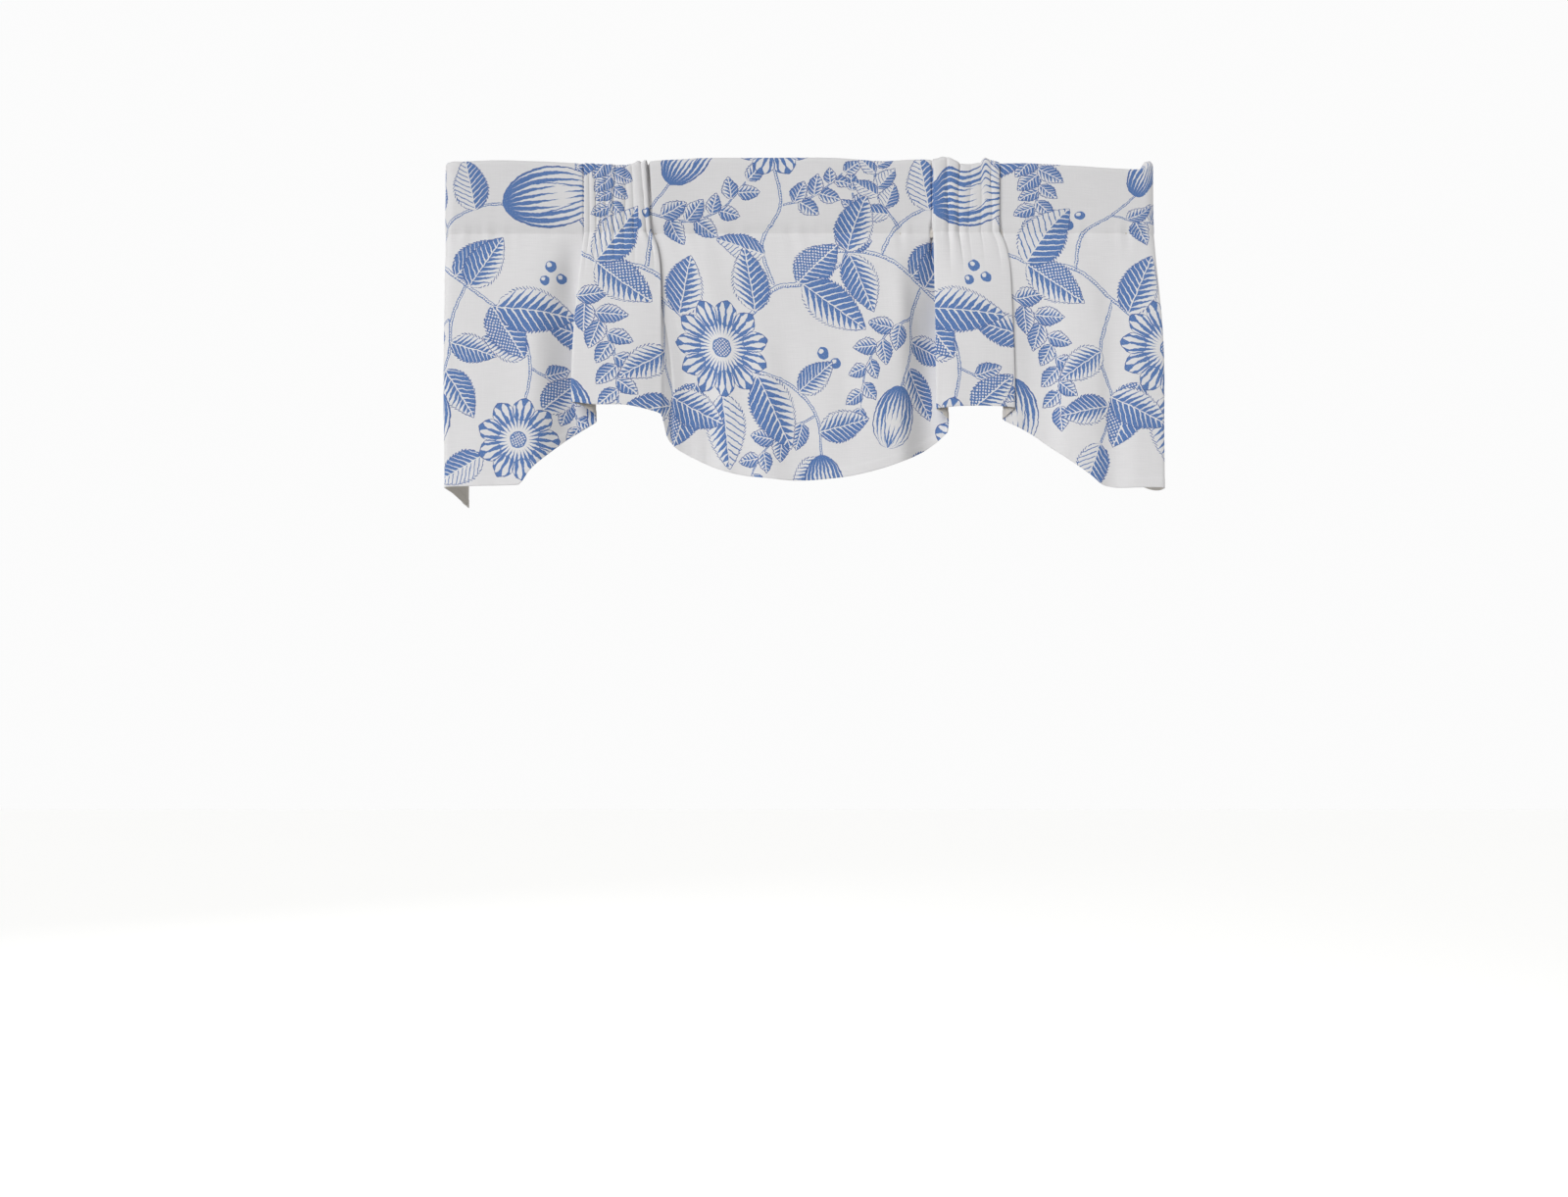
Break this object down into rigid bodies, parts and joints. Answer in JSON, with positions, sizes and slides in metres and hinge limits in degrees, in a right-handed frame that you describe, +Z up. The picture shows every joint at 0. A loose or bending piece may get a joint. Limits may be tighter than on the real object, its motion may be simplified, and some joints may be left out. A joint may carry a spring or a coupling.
{
  "type": "rod-pocket window valance",
  "caption": "Printed cotton window valance with a wide rod pocket, two gathered sections, returns to the wall and a scalloped hem, in the shape in which it hangs.",
  "frame": {"origin": "middle of the top edge, at the front face of the pocket", "axes": "+X to the right as seen from the room, +Y back towards the wall, +Z up"},
  "size_m": [0.9572, 0.101, 0.4475],
  "materials": {
    "printed_cloth": "matt plain-weave cotton canvas, off-white, screen-printed in blue"
  },
  "bodies": {
    "root": {"heading_front": "printed_cloth", "heading_left_return": "printed_cloth", "heading_right_return": "printed_cloth", "skirt": "printed_cloth"}
  },
  "joints": []
}
